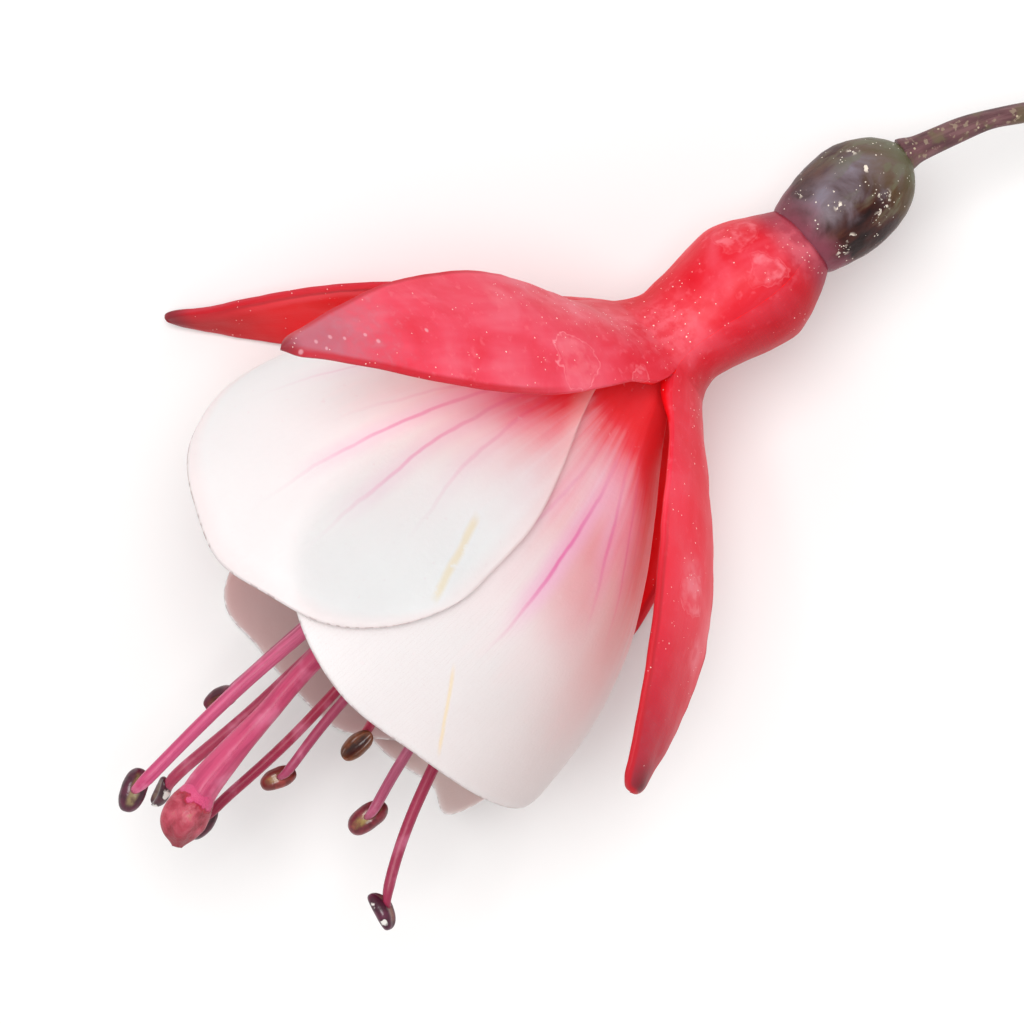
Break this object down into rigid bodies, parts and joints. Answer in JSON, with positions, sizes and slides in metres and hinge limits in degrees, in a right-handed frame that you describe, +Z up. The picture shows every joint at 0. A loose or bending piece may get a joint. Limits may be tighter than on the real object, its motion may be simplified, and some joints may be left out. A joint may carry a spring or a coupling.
{
  "type": "fuchsia flower",
  "caption": "Bicoloured fuchsia flower on its stalk, as picked, lying on its side: red calyx with spread sepals, white bell of petals, long stamens and pistil.",
  "frame": {"origin": "the point where the lowest petal rests on the surface, on the flat spot of its underside", "axes": "+Z up from the surface, +X along the flower towards its stalk, so the mouth faces -X, +Y to the side of the two upper sepals"},
  "size_m": [0.096, 0.0446, 0.0399],
  "materials": {
    "sepal": "satin",
    "petal": "matte",
    "ovary": "satin",
    "stalk": "satin",
    "filament": "satin",
    "anther": "satin",
    "pistil": "satin"
  },
  "bodies": {
    "root": {"stalk": "stalk", "ovary": "ovary", "calyx_tube": "sepal", "sepal_front_upper": "sepal", "sepal_front_lower": "sepal", "sepal_back_lower": "sepal", "sepal_back_upper": "sepal", "petal_front_upper": "petal", "petal_front_lower": "petal", "petal_back_lower": "petal", "petal_back_upper": "petal", "filament_1": "filament", "filament_2": "filament", "filament_3": "filament", "filament_4": "filament", "filament_5": "filament", "filament_6": "filament", "filament_7": "filament", "filament_8": "filament", "anther_1": "anther", "anther_2": "anther", "anther_3": "anther", "anther_4": "anther", "anther_5": "anther", "anther_6": "anther", "anther_7": "anther", "anther_8": "anther", "style": "pistil", "stigma": "pistil"}
  },
  "joints": []
}
